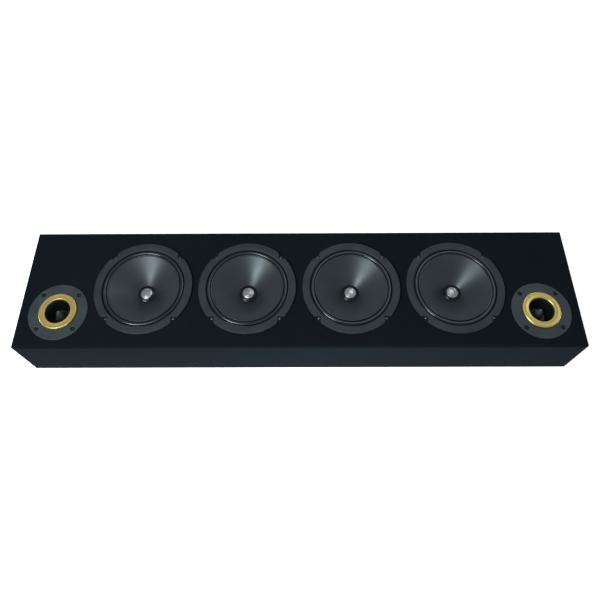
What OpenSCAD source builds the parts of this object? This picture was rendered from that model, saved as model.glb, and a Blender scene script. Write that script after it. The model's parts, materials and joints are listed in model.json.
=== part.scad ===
// Car speaker box: a long, low board enclosure covered with carpet, with four midrange drivers
// and two bullet tweeters in its baffle and a spring-lever terminal in its far side.
// The box lies on its back board: X runs along the length, Y across the width away from the
// viewer, Z up out of the baffle. The origin is the centre of the underside.
// All lengths are in millimetres, all angles in degrees.

/* [Enclosure] */
// Outside width, carpet included
box_w = 216; // [212:1:260]
// Outside height from the floor to the carpet on the baffle
box_h = 113; // [108:1:160]
// Thickness of the boards
board_t = 15; // [12:0.5:18]
// Thickness of the carpet
carpet_t = 2.5; // [2:0.1:3.5]
// Radius of the carpeted edges
edge_r = 5; // [3:0.1:6]

/* [Driver layout] */
// Gap between the flanges of neighbouring midrange drivers
mid_gap = 10; // [4:0.5:30]
// Offset of the midrange row from the middle of the baffle
mid_y = -2; // [-6:0.5:2]
// Gap between a tweeter's flange and that of the nearest midrange
tweeter_gap = 11.5; // [4:0.5:30]
// Offset of the tweeters from the middle of the baffle
tweeter_y = -45.5; // [-48:0.5:-40]
// Gap between a tweeter's flange and the end of the box
end_gap = 18; // [8:0.5:80]

/* [Midrange frame] */
// Radius of the cone at its outer edge, which gives the driver its size
cone_r = 62; // [60:0.5:70]
// How far the flange stands out past the trim ring
flange_edge = 0.5; // [0.2:0.1:1.5]
// Distance from the trim ring's inner wall to the screws' pitch circle
screw_reach = 9; // [8:0.1:10]
// Thickness of the frame's sheet
frame_t = 1.5; // [1:0.1:2]
// Depth of the straight skirt below the flange
skirt_h = 8; // [6:0.5:10]
// Outer radius of the shelf that carries the spider
shelf_r = 52; // [50:0.5:56]
// Width of the shelf
shelf_w = 7; // [5:0.5:8]
// Depth of the shelf below the baffle
shelf_depth = 33; // [32.5:0.5:36]
// Depth of the frame's floor below the baffle
frame_depth = 47; // [45:0.5:50]
// Number of windows in the frame's wall
window_count = 6; // [4:1:8]
// Width of a window
window_w = 34; // [20:1:36]

/* [Midrange front] */
// Width of the rubber trim ring
ring_w = 13; // [12:0.1:14]
// Height of the trim ring above the flange
trim_h = 4; // [3:0.5:6]
// Radius of the bevel on the trim ring's outer edge
trim_bevel = 1.2; // [0.5:0.1:2]
// Gap between a screw's head and the walls of its notch in the trim ring
notch_gap = 0.2; // [0.1:0.1:0.6]
// Radius of the surround's half roll
roll_r = 3.4; // [2.8:0.1:4]
// Gap on either side of the half roll, to the cone and to the trim ring
roll_gap = 1.1; // [0.5:0.1:1.4]
// Thickness of the surround
surround_t = 0.5; // [0.4:0.1:0.8]
// Depth of the cone from its rim to its neck
cone_depth = 30; // [26:0.5:30.5]
// Thickness of the cone, measured upright
cone_t = 0.9; // [0.6:0.1:1.4]
// Exponent of the cone's flare, where 1 is straight
cone_flare = 0.88; // [0.75:0.01:1]
// Outer radius of the dust cap
cap_r = 15.2; // [14.5:0.1:18]
// Radius of the plain disc on the dust cap
cap_disc_r = 10; // [8:0.5:12.5]
// Height of the dust cap's dome
cap_h = 4.2; // [1:0.1:5]
// Height of the bead round the cone's edge
bead_h = 0.8; // [0.3:0.1:1.2]

/* [Midrange motor] */
// Outer radius of the voice coil former
former_r = 12.7; // [12:0.1:13]
// Wall of the voice coil former
former_t = 0.35; // [0.2:0.05:0.5]
// Thickness of the copper winding
winding_t = 0.7; // [0.4:0.1:0.8]
// Length of the winding
winding_h = 12; // [8:0.5:14]
// Gap between the coil and the motor on either side
coil_gap = 0.5; // [0.4:0.05:0.8]
// Radius of the top plate and the back plate
plate_r = 40; // [39:0.5:42]
// Thickness of the top plate
top_plate_t = 5; // [4:0.5:7]
// Radius of the ring magnet
magnet_r = 42; // [40:0.5:45]
// Radius of the hole in the ring magnet
magnet_hole_r = 20; // [17:0.5:24]
// Thickness of the ring magnet
magnet_t = 15; // [13:0.5:18]
// Thickness of the back plate
back_plate_t = 5; // [4:0.5:7]
// Radius of the vent through the pole
vent_r = 4; // [3:0.5:6]
// Thickness of the spider's cloth
spider_t = 0.5; // [0.3:0.1:0.8]
// Number of rings in the spider
spider_waves = 4; // [2:1:6]
// Height of a spider ring
spider_wave_h = 1.2; // [0.6:0.1:1.4]

/* [Tweeter] */
// Radius of the tweeter's flange
horn_flange_r = 49.5; // [48.5:0.5:51]
// Thickness of the tweeter's flange
horn_flange_t = 2.5; // [2:0.1:4]
// Depth of the well that each tweeter screw sits in
well_depth = 0.9; // [0.4:0.1:1.2]
// Radius of the hole in the baffle for the tweeter
horn_hole_r = 38; // [37.5:0.5:40]
// Radius of the horn's mouth
mouth_r = 20.9; // [19.5:0.1:22]
// Radius of the horn's throat
throat_r = 11; // [10.5:0.1:12]
// Depth of the flare below the baffle
flare_depth = 20; // [18:0.5:23]
// Wall of the horn
horn_wall = 2.5; // [2:0.1:3.5]
// Outer radius of the gold ring
gold_r = 31.9; // [30:0.1:33]
// Height of the gold ring above the flange
gold_h = 4; // [3:0.1:6]
// Radius of the bullet
bullet_r = 7; // [6:0.1:7.5]
// Depth of the bullet's tip below the flange's face
bullet_drop = 6; // [4:0.5:9]
// Pitch circle diameter of the tweeter screws
tweeter_pcd = 86; // [84:0.5:88]
// Radius of the tweeter's plates
tweeter_plate_r = 30; // [29:0.5:33]
// Radius of the tweeter's magnet
tweeter_magnet_r = 34; // [32:0.5:36]
// Thickness of the tweeter's magnet
tweeter_magnet_t = 10; // [8:0.5:14]
// Outer radius of the tweeter's voice coil
tweeter_coil_r = 12.7; // [12:0.1:13]
// Rise of the diaphragm's dome
dome_h = 2.4; // [1.5:0.1:2.6]

/* [Screws] */
// Radius of a driver screw's shank
screw_r = 1.8; // [1.5:0.1:1.9]
// Radius of a driver screw's head
screw_head_r = 2.6; // [2.4:0.1:2.7]
// Radius of a tweeter screw's head
tweeter_head_r = 3.2; // [2.6:0.1:3.4]
// Height of a driver screw's head
screw_head_h = 1.9; // [1.5:0.1:2.4]
// Length of a driver screw below its head
screw_l = 15; // [10:1:16]

/* [Terminal] */
// Length of the terminal's front plate
cup_l = 84; // [80:1:96]
// Height of the terminal's front plate
cup_h = 58; // [56:1:64]
// Thickness of the terminal's front plate
cup_plate_t = 2.5; // [2:0.1:3.5]
// Length of the recess for the fingers
recess_l = 62; // [58:1:66]
// Height of the recess for the fingers
recess_h = 40; // [39:1:42]
// Depth of the recess behind the front plate
recess_depth = 20; // [18:1:26]
// Wall of the recess
cup_wall = 2; // [1.6:0.1:3]
// Distance between the two levers
lever_pitch = 28; // [25:0.5:32]
// Width of a lever
lever_w = 15; // [12:0.5:17]
// Length of a lever below its pin
lever_l = 17; // [14:0.5:17.5]
// Thickness of a lever
lever_t = 3; // [2.5:0.1:3.5]
// Radius of a lever's pin
pin_r = 1.6; // [1.3:0.1:1.8]
// Radius of a wire hole
wire_hole_r = 1.6; // [1.2:0.1:2]
// Depth of a wire hole
wire_hole_depth = 6; // [4:0.5:6.5]
// How far a lever swings in when it is pressed
lever_swing = 16; // [10:1:18]

/* [Hidden] */
$fn = 96;
cut = 1;            // how far a cutter runs past the face that it cuts
clearance = 0.1;    // gap round a piece that sits in a hole or on a round seat
pin_clearance = 0.05;
flange_hole_gap = 0.3;
MIDRANGES = [1, 2, 3, 4];
SIDES = ["left", "right"];

// Midrange front, from the cone outwards
roll_mid_r = cone_r + roll_r + roll_gap;
ring_inner_r = roll_mid_r + roll_r + roll_gap;
trim_r = ring_inner_r + ring_w;
flange_r = trim_r + flange_edge;
mid_hole_r = ring_inner_r + clearance + 0.4;
mid_pcd = 2 * (ring_inner_r + screw_reach);

// Driver centres, and the box's length round them
mid_pitch = 2 * flange_r + mid_gap;
tweeter_reach = flange_r + horn_flange_r + tweeter_gap;
tweeter_step = sqrt(pow(tweeter_reach, 2) - pow(tweeter_y - mid_y, 2));
tweeter_x = 1.5 * mid_pitch + tweeter_step;
box_l = 2 * (tweeter_x + horn_flange_r + end_gap);

// Board positions
wood_l = box_l - 2 * carpet_t;
wood_w = box_w - 2 * carpet_t;
wood_top = box_h - carpet_t;
room_bottom = carpet_t + board_t;
room_top = wood_top - board_t;
room_w = wood_w - 2 * board_t;
wall_w = carpet_t + board_t;

// Midrange section, as heights above the baffle's carpet
frame_gap = 0.8;
skirt_r = mid_hole_r - frame_gap;
lip_z = frame_t;
lip_w = 5;
lip_r = roll_mid_r + roll_r + lip_w;
rim_z = lip_z + surround_t;
neck_z = rim_z - cone_depth;
collar_t = 0.9;
collar_h = 3;
cone_lip_w = 2;
floor_z = -frame_depth;
shelf_z = -shelf_depth;
top_plate_z = floor_z - top_plate_t;
magnet_z = top_plate_z - magnet_t;
back_plate_z = magnet_z - back_plate_t;
pole_r = former_r - former_t - coil_gap;
plate_hole_r = former_r + winding_t + coil_gap;
winding_mid_z = floor_z - top_plate_t / 2;
former_bottom_z = winding_mid_z - winding_h / 2 - 1;
notch_corner = mid_pcd / 2 * cos(45) - screw_head_r - notch_gap;

// Tweeter section, as heights above the baffle's carpet
horn_skirt_r = horn_hole_r - frame_gap;
horn_skirt_h = 8;
screw_seat_z = horn_flange_t - well_depth;
seat_r = throat_r + 1;
seat_h = 3;
seat_z = -flare_depth - seat_h;
plug_r = seat_r - clearance;
seat_web = 2;
dome_room = dome_h + 0.6;
disc_z = seat_z - seat_web - dome_room;
dome_r = 16;
diaphragm_t = 0.4;
exit_r = throat_r - 2;
tweeter_top_z = disc_z - diaphragm_t;
tweeter_plate_t = 5;
tweeter_magnet_z = tweeter_top_z - tweeter_plate_t - tweeter_magnet_t;
tweeter_back_t = 4;
tweeter_back_z = tweeter_magnet_z - tweeter_back_t;
tweeter_former_t = 0.4;
tweeter_winding_t = 0.5;
tweeter_pole_r = tweeter_coil_r - tweeter_former_t - tweeter_winding_t - coil_gap;

// Tag strips
strip_t = 1.5;
strip_w = 16;
strip_l = 13;

// Terminal section: y counts outwards from the carpet of the far side, z from the cup's centre
cup_z = (room_bottom + room_top) / 2;
cup_corner_r = 4;
recess_corner_r = 5;
cup_hole_clearance = 0.5;
terminal_screw_l = 11;
block_h = 34;
block_depth = 10;
block_l = lever_pitch + lever_w + 8;
pivot_y = -recess_depth + block_depth - pin_r - 1.4;
pivot_z = 10;
wire_z = -12;
contact_z = -15.2;
contact_w = 6;
contact_t = 0.8;
lever_gap = 0.4;
boss_r = pin_r + 1.2;
pin_over = 2.6;     // how far the pin stands out on either side of the lever
contact_in = 5;     // how deep a contact tag sits in the terminal
screw_inset = 5;
pad_h = 4;
pocket_back = pivot_y - lever_l * sin(lever_swing) - max(0, lever_t - boss_r) - lever_gap;
pocket_bottom = pivot_z - norm([boss_r + pad_h, lever_l]) - lever_gap;

carpet_colour = [0.07, 0.10, 0.13];
board_colour = [0.62, 0.50, 0.36];
steel_colour = [0.16, 0.17, 0.18];
rubber_colour = [0.17, 0.20, 0.22];
cone_colour = [0.13, 0.15, 0.17];
silver_colour = [0.75, 0.76, 0.78];
copper_colour = [0.72, 0.42, 0.22];
cloth_colour = [0.80, 0.66, 0.36];
plate_colour = [0.62, 0.63, 0.65];
ferrite_colour = [0.12, 0.12, 0.13];
gold_colour = [0.72, 0.64, 0.38];
plastic_colour = [0.10, 0.11, 0.12];
red_colour = [0.70, 0.08, 0.07];
black_colour = [0.05, 0.05, 0.05];

function mid_x(k) = (k - 2.5) * mid_pitch;
function side_sign(s) = s == "left" ? -1 : 1;

// Underside of the cone at radius r
function cone_z(r) =
    neck_z + cone_depth * pow((r - former_r) / (cone_r - cone_lip_w - former_r), cone_flare);

// Radius of the horn's throat at height z, an exponential flare
function throat_at(z) =
    mouth_r * pow(throat_r / mouth_r, (horn_flange_t - z) / (horn_flange_t + flare_depth));

module ring(ri, ro, z0, z1) {
    rotate_extrude() translate([ri, z0]) square([ro - ri, z1 - z0]);
}

module rounded_rect(l, w, r) {
    square([l - 2 * r, w], center = true);
    square([l, w - 2 * r], center = true);
    for (sx = [-1, 1], sy = [-1, 1])
        translate([sx * (l / 2 - r), sy * (w / 2 - r)]) circle(r = r);
}

module at_midrange(k) {
    translate([mid_x(k), mid_y, box_h]) children();
}

module at_tweeter(s) {
    translate([side_sign(s) * tweeter_x, tweeter_y, box_h]) children();
}

module on_pitch_circle(pcd) {
    for (a = [45:90:315]) rotate(a) translate([pcd / 2, 0, 0]) children();
}

// Space that the driver screws need in the boards and the carpet
module screw_holes() {
    hole_r = screw_r + clearance;
    for (k = MIDRANGES)
        at_midrange(k) on_pitch_circle(mid_pcd)
            translate([0, 0, frame_t - screw_l - cut]) cylinder(r = hole_r, h = screw_l + cut);
    for (s = SIDES)
        at_tweeter(s) on_pitch_circle(tweeter_pcd)
            translate([0, 0, frame_t - screw_l - cut]) cylinder(r = hole_r, h = screw_l + cut);
}

// The round cut-outs for the drivers, through the carpet and the baffle
module driver_holes() {
    depth = carpet_t + board_t + 2 * cut;
    for (k = MIDRANGES)
        at_midrange(k) translate([0, 0, cut - depth]) cylinder(r = mid_hole_r, h = depth);
    for (s = SIDES)
        at_tweeter(s) translate([0, 0, cut - depth]) cylinder(r = horn_hole_r, h = depth);
}

// Puts children in the terminal's frame: y outwards from the carpet of the far side
module at_terminal() {
    translate([0, box_w / 2, cup_z]) children();
}

// Extrudes a front view, drawn in x and z, from y0 outwards to y1
module front_view(y0, y1) {
    translate([0, y1, 0]) rotate([90, 0, 0]) linear_extrude(y1 - y0) children();
}

module terminal_hole() {
    hole_l = recess_l + 2 * cup_wall + 2 * cup_hole_clearance;
    hole_h = recess_h + 2 * cup_wall + 2 * cup_hole_clearance;
    at_terminal() front_view(-wall_w - cut, cut)
        rounded_rect(hole_l, hole_h, recess_corner_r + cup_wall);
}

// The carpeted box's outer form: a block with rounded edges
module envelope() {
    intersection() {
        linear_extrude(box_h) rounded_rect(box_l, box_w, edge_r);
        translate([-box_l / 2, 0, box_h / 2]) rotate([90, 0, 90])
            linear_extrude(box_l) rounded_rect(box_w, box_h, edge_r);
        translate([0, box_w / 2, box_h / 2]) rotate([90, 0, 0])
            linear_extrude(box_w) rounded_rect(box_l, box_h, edge_r);
    }
}

module board(l, w, h, z) {
    translate([0, 0, z + h / 2]) cube([l, w, h], center = true);
}

module back_board() {
    color(board_colour) board(wood_l, wood_w, board_t, carpet_t);
}

module baffle_board() {
    color(board_colour) difference() {
        board(wood_l, wood_w, board_t, room_top);
        driver_holes();
        screw_holes();
    }
}

module side_board(sign) {
    translate([0, sign * (wood_w - board_t) / 2, 0])
        board(wood_l, board_t, room_top - room_bottom, room_bottom);
}

module side_board_near() {
    color(board_colour) side_board(-1);
}

module side_board_far() {
    color(board_colour) difference() {
        side_board(1);
        terminal_hole();
        terminal_screw_holes();
    }
}

module end_board(s) {
    color(board_colour) translate([side_sign(s) * (wood_l - board_t) / 2, 0, 0])
        board(board_t, room_w, room_top - room_bottom, room_bottom);
}

module carpet_base() {
    color(carpet_colour) intersection() {
        envelope();
        board(box_l, box_w, carpet_t, 0);
    }
}

module carpet_wrap() {
    color(carpet_colour) difference() {
        envelope();
        board(box_l + 2 * cut, box_w + 2 * cut, carpet_t + cut, -cut);
        board(box_l + 2 * cut, wood_w, wood_top - carpet_t, carpet_t);
        driver_holes();
        screw_holes();
        terminal_hole();
        terminal_screw_holes();
    }
}

module carpet_end(s) {
    color(carpet_colour) intersection() {
        envelope();
        translate([side_sign(s) * (box_l - carpet_t) / 2, 0, 0])
            board(carpet_t, wood_w, wood_top - carpet_t, carpet_t);
    }
}

// Pressed steel frame: flange, skirt, sloping wall, shelf for the spider, cup and floor
module basket(k) {
    inner_r = skirt_r - frame_t;
    floor_r = plate_r - frame_t;
    hole_r = plate_hole_r + frame_gap;
    color(steel_colour) at_midrange(k) difference() {
        rotate_extrude() polygon([
            [flange_r, 0], [flange_r, frame_t], [inner_r, frame_t], [inner_r, -skirt_h],
            [shelf_r, shelf_z], [shelf_r - shelf_w, shelf_z], [floor_r - frame_t, floor_z + frame_t],
            [hole_r, floor_z + frame_t], [hole_r, floor_z], [floor_r, floor_z],
            [shelf_r - shelf_w + frame_t / 2, shelf_z - frame_t], [shelf_r + frame_t / 2, shelf_z - frame_t],
            [skirt_r, -skirt_h - frame_t / 2], [skirt_r, 0]
        ]);
        frame_windows();
        on_pitch_circle(mid_pcd) translate([0, 0, -cut])
            cylinder(r = screw_r + flange_hole_gap, h = frame_t + 2 * cut);
    }
}

module frame_windows() {
    margin = 3;
    corner_r = 3;
    top_z = -skirt_h - margin;
    bottom_z = shelf_z + margin + 1;
    for (i = [0:window_count - 1])
        rotate(i * 360 / window_count + 180 / window_count)
            translate([0, 0, (top_z + bottom_z) / 2]) rotate([90, 0, 90])
                linear_extrude(flange_r) rounded_rect(window_w, top_z - bottom_z, corner_r);
}

// Moulded rubber ring over the flange, with a notch at each screw
module trim_ring(k) {
    top_z = frame_t + trim_h;
    inner_r = ring_inner_r;
    inner_bevel = [2.2, 1.4];
    color(rubber_colour) at_midrange(k) difference() {
        rotate_extrude() polygon([
            [inner_r, lip_z + surround_t], [inner_r, top_z - inner_bevel[1]], [inner_r + inner_bevel[0], top_z],
            [trim_r - trim_bevel, top_z], [trim_r, top_z - trim_bevel], [trim_r, frame_t],
            [lip_r + clearance, frame_t], [lip_r + clearance, lip_z + surround_t]
        ]);
        for (a = [0:90:270]) rotate(a)
            translate([notch_corner, notch_corner, 0]) cube([trim_r, trim_r, top_z + cut]);
    }
}

// Half-roll rubber surround, glued under the cone's rim and on the flange
module surround(k) {
    color(rubber_colour) at_midrange(k) rotate_extrude() {
        translate([cone_r - cone_lip_w, lip_z]) square([cone_lip_w + roll_gap + surround_t, surround_t]);
        translate([roll_mid_r + roll_r - surround_t, lip_z]) square([lip_w + surround_t, surround_t]);
        translate([roll_mid_r, lip_z]) intersection() {
            difference() {
                circle(r = roll_r);
                circle(r = roll_r - surround_t);
            }
            translate([-roll_r, 0]) square([2 * roll_r, roll_r]);
        }
    }
}

module cone(k) {
    steps = 16;
    neck_r = former_r + clearance;
    slant_r = cone_r - cone_lip_w - neck_r;
    bead_z = rim_z + cone_t + bead_h;
    under = [for (i = [0:steps]) let (r = neck_r + slant_r * i / steps) [r, cone_z(r)]];
    color(cone_colour) at_midrange(k) rotate_extrude() polygon(concat(
        [for (p = under) p + [0, cone_t]],
        [[cone_r - cone_lip_w * 0.6, bead_z], [cone_r - cone_lip_w * 0.25, bead_z]],
        [[cone_r, bead_z - bead_h], [cone_r, rim_z]],
        [for (i = [steps:-1:1]) under[i]],
        [[neck_r + collar_t, neck_z - collar_h], [neck_r, neck_z - collar_h]]
    ));
}

// Dome over the cone's neck, with a plain disc laid on its middle
module dust_cap(k) {
    steps = 8;
    wall = 0.8;
    edge_t = wall / 2;
    disc_t = 0.4;
    base_z = cone_z(cap_r) + cone_t + clearance + edge_t;
    function dome_z(r) = base_z + cap_h * (1 - pow(r / cap_r, 2));
    disc = [for (i = [0:steps]) cap_disc_r * i / steps];
    outer = [for (i = [0:steps]) cap_disc_r + (cap_r - cap_disc_r) * i / steps];
    color(silver_colour) at_midrange(k) rotate_extrude() polygon(concat(
        [for (r = disc) [r, dome_z(r) + disc_t]],
        [for (r = outer) [r, dome_z(r)]],
        [for (i = [steps:-1:0]) [outer[i], dome_z(outer[i]) - wall + (wall - edge_t) * i / steps]],
        [for (i = [steps - 1:-1:0]) [disc[i], dome_z(disc[i]) - wall]]
    ));
}

// Paper former with its copper winding
module voice_coil(k) {
    color(copper_colour) at_midrange(k) {
        ring(former_r - former_t, former_r, former_bottom_z, neck_z + 1);
        ring(former_r, former_r + winding_t, winding_mid_z - winding_h / 2, winding_mid_z + winding_h / 2);
    }
}

// Corrugated cloth disc from the former to the frame's shelf
module spider(k) {
    steps = spider_waves * 8;
    gap = 0.3;
    r0 = former_r + gap;
    r1 = shelf_r - shelf_w - gap;
    function wave_z(i) = shelf_z + spider_wave_h * sin(360 * spider_waves * i / steps);
    line = [for (i = [0:steps]) [r0 + (r1 - r0) * i / steps, wave_z(i)]];
    color(cloth_colour) at_midrange(k) rotate_extrude() polygon(concat(
        line, [[shelf_r - gap, shelf_z], [shelf_r - gap, shelf_z + spider_t]],
        [for (i = [steps:-1:0]) line[i] + [0, spider_t]]
    ));
}

module midrange_top_plates() {
    color(plate_colour) for (k = MIDRANGES) at_midrange(k)
        ring(plate_hole_r, plate_r, top_plate_z, floor_z);
}

module midrange_magnets() {
    chamfer = 0.8;
    color(ferrite_colour) for (k = MIDRANGES) at_midrange(k) rotate_extrude() polygon([
        [magnet_hole_r, magnet_z], [magnet_r - chamfer, magnet_z], [magnet_r, magnet_z + chamfer],
        [magnet_r, top_plate_z - chamfer], [magnet_r - chamfer, top_plate_z], [magnet_hole_r, top_plate_z]
    ]);
}

// Back plate and pole in one piece, with the vent through the pole
module midrange_yokes() {
    chamfer = 1.5;
    vent_flare = 2;
    color(plate_colour) for (k = MIDRANGES) at_midrange(k) rotate_extrude() polygon([
        [vent_r + vent_flare, back_plate_z], [plate_r - chamfer, back_plate_z], [plate_r, back_plate_z + chamfer],
        [plate_r, magnet_z], [pole_r, magnet_z], [pole_r, floor_z], [vent_r, floor_z],
        [vent_r, back_plate_z + vent_flare]
    ]);
}

module driver_screw(head_r, l) {
    point_l = 2.5;
    rotate_extrude() polygon([
        [0, -l], [screw_r * 0.4, -l], [screw_r, -l + point_l], [screw_r, 0], [head_r, 0],
        [head_r, screw_head_h * 0.5], [head_r * 0.75, screw_head_h], [0, screw_head_h]
    ]);
}

module midrange_screws() {
    color(black_colour) for (k = MIDRANGES) at_midrange(k)
        on_pitch_circle(mid_pcd) translate([0, 0, frame_t]) driver_screw(screw_head_r, screw_l);
}

// Horn: flange, flared throat, and the disc at the back that the motor is glued to
module tweeter_horn(s) {
    steps = 12;
    edge = 1;
    flare = [for (i = [0:steps])
        let (z = horn_flange_t - (horn_flange_t + flare_depth) * i / steps) [throat_at(z), z]];
    color(plastic_colour) at_tweeter(s) difference() {
        rotate_extrude() polygon(concat(
            flare,
            [[seat_r, -flare_depth], [seat_r, seat_z]],
            [[exit_r, seat_z], [exit_r, disc_z + dome_room], [dome_r, disc_z + dome_room], [dome_r, disc_z]],
            [[tweeter_plate_r, disc_z], [tweeter_plate_r, seat_z]],
            [[seat_r + horn_wall, seat_z], [seat_r + horn_wall, -flare_depth]],
            [for (i = [steps - 1:-1:3]) flare[i] + [horn_wall, 0]],
            [[horn_skirt_r - horn_wall, -horn_wall], [horn_skirt_r - horn_wall, -horn_skirt_h]],
            [[horn_skirt_r, -horn_skirt_h], [horn_skirt_r, 0], [horn_flange_r, 0]],
            [[horn_flange_r, horn_flange_t - edge], [horn_flange_r - edge, horn_flange_t]]
        ));
        on_pitch_circle(tweeter_pcd) {
            translate([0, 0, -cut]) cylinder(r = screw_r + flange_hole_gap, h = horn_flange_t + 2 * cut);
            translate([0, 0, screw_seat_z]) cylinder(r = tweeter_head_r + frame_gap, h = well_depth + cut);
        }
    }
}

// Gold-coloured ring round the horn's mouth, in section an arch with a flattened crown
module tweeter_ring(s) {
    half_w = (gold_r - mouth_r) / 2;
    crown = 0.55;
    color(gold_colour) at_tweeter(s) rotate_extrude() polygon(
        [for (a = [0:10:180]) [
            mouth_r + half_w + half_w * cos(a),
            horn_flange_t + gold_h * pow(abs(sin(a)), crown)
        ]]
    );
}

// Bullet on three legs, with the foot ring that drops into the throat's seat
module tweeter_bullet(s) {
    steps = 12;
    tip_z = horn_flange_t - bullet_drop;
    length = tip_z - seat_z;
    leg_t = 1.6;
    leg_h = 4;
    foot_w = 1.4;
    function bullet_at(u) = bullet_r * pow(sin(90 * min(1, u * 1.8)), 0.75);
    color(silver_colour) at_tweeter(s) {
        rotate_extrude() polygon(concat(
            [for (i = [0:steps]) [bullet_at(i / steps), tip_z - length * i / steps]],
            [[0, seat_z]]
        ));
        ring(plug_r - foot_w, plug_r, seat_z, seat_z + seat_h - 0.5);
        for (a = [90:120:330]) rotate(a)
            translate([bullet_r - 1, -leg_t / 2, seat_z]) cube([plug_r - bullet_r + 0.4, leg_t, seat_h - 0.5]);
    }
}

// Dome diaphragm with its rim and voice coil
module tweeter_diaphragm(s) {
    steps = 8;
    rim_r = tweeter_plate_r - 4;
    coil_l = 8;
    inner_r = tweeter_coil_r - tweeter_winding_t - tweeter_former_t;
    top = [for (i = [0:steps]) [inner_r * i / steps, disc_z + dome_h * (1 - pow(i / steps, 2))]];
    color(cloth_colour) at_tweeter(s) {
        rotate_extrude() polygon(concat(
            top, [[rim_r, disc_z], [rim_r, disc_z - diaphragm_t]],
            [for (i = [steps:-1:0]) top[i] - [0, diaphragm_t]]
        ));
        ring(inner_r, inner_r + tweeter_former_t, disc_z - coil_l, disc_z - diaphragm_t);
        ring(inner_r + tweeter_former_t, tweeter_coil_r, disc_z - coil_l, disc_z - coil_l + 5);
    }
}

module tweeter_top_plates() {
    color(plate_colour) for (s = SIDES) at_tweeter(s) ring(
        tweeter_coil_r + coil_gap, tweeter_plate_r, tweeter_top_z - tweeter_plate_t, tweeter_top_z
    );
}

module tweeter_magnets() {
    color(ferrite_colour) for (s = SIDES) at_tweeter(s) ring(
        tweeter_coil_r + 5, tweeter_magnet_r, tweeter_magnet_z, tweeter_top_z - tweeter_plate_t
    );
}

module tweeter_yokes() {
    color(plate_colour) for (s = SIDES) at_tweeter(s) rotate_extrude() polygon([
        [0, tweeter_back_z], [tweeter_plate_r - 1, tweeter_back_z], [tweeter_plate_r, tweeter_back_z + 1],
        [tweeter_plate_r, tweeter_magnet_z], [tweeter_pole_r, tweeter_magnet_z],
        [tweeter_pole_r, tweeter_top_z - 0.6], [0, tweeter_top_z - 0.6]
    ]);
}

module tweeter_screws() {
    color(black_colour) for (s = SIDES) at_tweeter(s)
        on_pitch_circle(tweeter_pcd) translate([0, 0, screw_seat_z])
            driver_screw(tweeter_head_r, screw_l + screw_seat_z - frame_t);
}

// Fibre strips with two solder tags each, under the frames' shelves and on the horns' discs
module tag_strip() {
    tag_t = 0.8;
    tag_w = 2.8;
    tag_l = 9;
    tag_hold = 4;
    translate([0, -strip_w / 2, 0]) cube([strip_l, strip_w, strip_t]);
    for (y = [-1, 1])
        translate([strip_l - tag_hold, y * strip_w / 4 - tag_w / 2, strip_t]) cube([tag_l, tag_w, tag_t]);
}

module driver_tags() {
    color(cloth_colour) {
        for (k = MIDRANGES) at_midrange(k) rotate(90)
            translate([shelf_r - shelf_w + frame_t, 0, shelf_z - frame_t - strip_t]) tag_strip();
        for (s = SIDES) at_tweeter(s) rotate(90)
            translate([seat_r + horn_wall + 1, 0, seat_z]) tag_strip();
    }
}

// Where the terminal's screws sit, in the plate's corners
module at_terminal_screws() {
    for (sx = [-1, 1], sz = [-1, 1])
        translate([sx * (cup_l / 2 - screw_inset), 0, sz * (cup_h / 2 - screw_inset)]) rotate([-90, 0, 0]) children();
}

module terminal_screw_holes() {
    at_terminal() at_terminal_screws()
        translate([0, 0, -terminal_screw_l]) cylinder(r = screw_r + clearance, h = terminal_screw_l + cut);
}

// Side view of a lever's pocket, cut into the block
module lever_pocket(x) {
    pocket_w = lever_w + 2 * lever_gap;
    front_y = -recess_depth + block_depth;
    translate([x - pocket_w / 2, pocket_back, pocket_bottom])
        cube([pocket_w, front_y - pocket_back + cut, pivot_z + boss_r + lever_gap - pocket_bottom]);
    translate([x - pocket_w / 2 - pin_over, pivot_y, pivot_z]) rotate([0, 90, 0])
        cylinder(r = pin_r + pin_clearance, h = pocket_w + 2 * pin_over);
}

module contact_blade(w, l, t) {
    translate([-w / 2, 0, -t / 2]) cube([w, l, t]);
}

module terminal_cup() {
    back_y = -recess_depth - cup_wall;
    color(plastic_colour) at_terminal() difference() {
        union() {
            front_view(0, cup_plate_t) rounded_rect(cup_l, cup_h, cup_corner_r);
            front_view(back_y, 0)
                rounded_rect(recess_l + 2 * cup_wall, recess_h + 2 * cup_wall, recess_corner_r + cup_wall);
        }
        difference() {
            front_view(-recess_depth, cup_plate_t + cut) rounded_rect(recess_l, recess_h, recess_corner_r);
            translate([-block_l / 2, -recess_depth - cut, -block_h / 2]) cube([block_l, block_depth + cut, block_h]);
        }
        for (sx = [-1, 1]) {
            lever_pocket(sx * lever_pitch / 2);
            translate([sx * lever_pitch / 2, -recess_depth + block_depth + cut, wire_z]) rotate([90, 0, 0])
                cylinder(r = wire_hole_r, h = wire_hole_depth + cut);
            translate([sx * lever_pitch / 2, back_y - cut, contact_z])
                contact_blade(contact_w + 2 * clearance, contact_in + 2 * cut, contact_t + 2 * clearance);
        }
        at_terminal_screws() translate([0, 0, -cut])
            cylinder(r = screw_r + flange_hole_gap, h = cup_plate_t + 2 * cut);
    }
}

// Contact tags that come out of the cup's back
module terminal_contacts() {
    tag_l = 12;
    back_y = -recess_depth - cup_wall;
    color(gold_colour) at_terminal() for (sx = [-1, 1])
        translate([sx * lever_pitch / 2, back_y + contact_in - tag_l, contact_z])
            contact_blade(contact_w, tag_l, contact_t);
}

module terminal_screws() {
    color(black_colour) at_terminal() at_terminal_screws()
        translate([0, 0, cup_plate_t]) driver_screw(screw_head_r, terminal_screw_l);
}

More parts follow.
